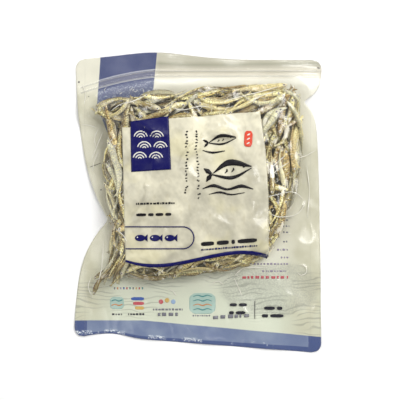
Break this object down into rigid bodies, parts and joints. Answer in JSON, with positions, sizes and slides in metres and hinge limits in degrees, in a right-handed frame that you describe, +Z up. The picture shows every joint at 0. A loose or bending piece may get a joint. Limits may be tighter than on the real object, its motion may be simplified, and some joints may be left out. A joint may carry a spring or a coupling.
{
  "type": "pouch of dried anchovies",
  "caption": "Clear zip-top pouch packed with small dried anchovies, lying flat with its label panel up.",
  "frame": {"origin": "on the surface it lies on, below the middle of the pouch's bounding box", "axes": "+Z up out of the printed front film, +Y along the pouch towards its zip, +X to the right as the label is read"},
  "size_m": [0.1992, 0.2422, 0.0294],
  "materials": {
    "pouch": "clear glossy film over silvery brown dried fish, with a pearl white printed panel"
  },
  "bodies": {
    "root": {"pouch": "pouch"}
  },
  "joints": []
}
